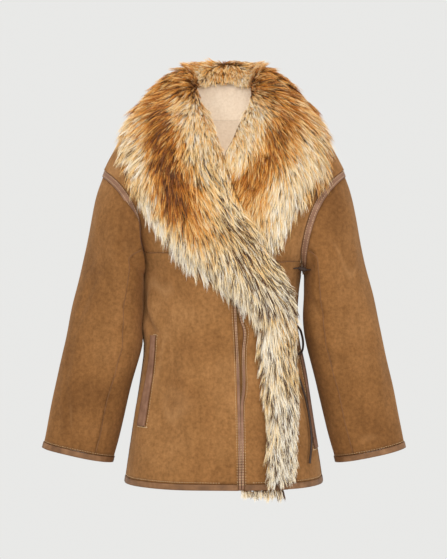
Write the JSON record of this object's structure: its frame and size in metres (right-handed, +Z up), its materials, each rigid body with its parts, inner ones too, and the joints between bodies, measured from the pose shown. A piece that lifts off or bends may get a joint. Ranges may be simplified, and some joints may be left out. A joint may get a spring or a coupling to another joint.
{
  "type": "shearling wrap coat with a fur collar",
  "caption": "Suede-faced shearling wrap coat in its worn form, with a long fur shawl collar, piped front slit, pocket welts, wide sleeves and a leather tie.",
  "frame": {"origin": "on the wearer's mid-line, level with the pit of the neck, between front and back: where the shoulders carry the coat", "axes": "+Z up, +X towards the wearer's left side, -Y out of the front"},
  "size_m": [0.6908, 0.3396, 0.823],
  "materials": {
    "suede": "tan suede with a soft nap",
    "trim_leather": "smooth greyish brown nappa, low sheen",
    "wool": "clipped cream wool",
    "fur": "long ginger and cream fur with dark tips",
    "grey_fur": "long grey and cream fur with dark tips",
    "thong": "dark brown leather thong"
  },
  "bodies": {
    "root": {"front_right_upper": "suede", "front_right_lower": "suede", "front_band": "suede", "front_left_upper": "suede", "front_left_lower": "suede", "back": "suede", "top_sleeve_left": "suede", "under_sleeve_left": "suede", "top_sleeve_right": "suede", "under_sleeve_right": "suede", "armhole_strip_left": "trim_leather", "armhole_strip_right": "trim_leather", "cuff_binding_left": "trim_leather", "cuff_binding_right": "trim_leather", "hem_binding_right": "trim_leather", "hem_binding_band": "trim_leather", "hem_binding_left": "trim_leather", "hem_binding_back": "trim_leather", "piping_outer": "trim_leather", "piping_inner": "trim_leather", "pocket_welt_right": "trim_leather", "pocket_welt_left": "trim_leather", "collar_stand": "wool", "fur_collar_back": "fur", "fur_lapel_right": "fur", "fur_lapel_left": "fur", "fur_front_edge": "grey_fur", "fur_hem": "grey_fur", "tie": "thong"}
  },
  "joints": []
}
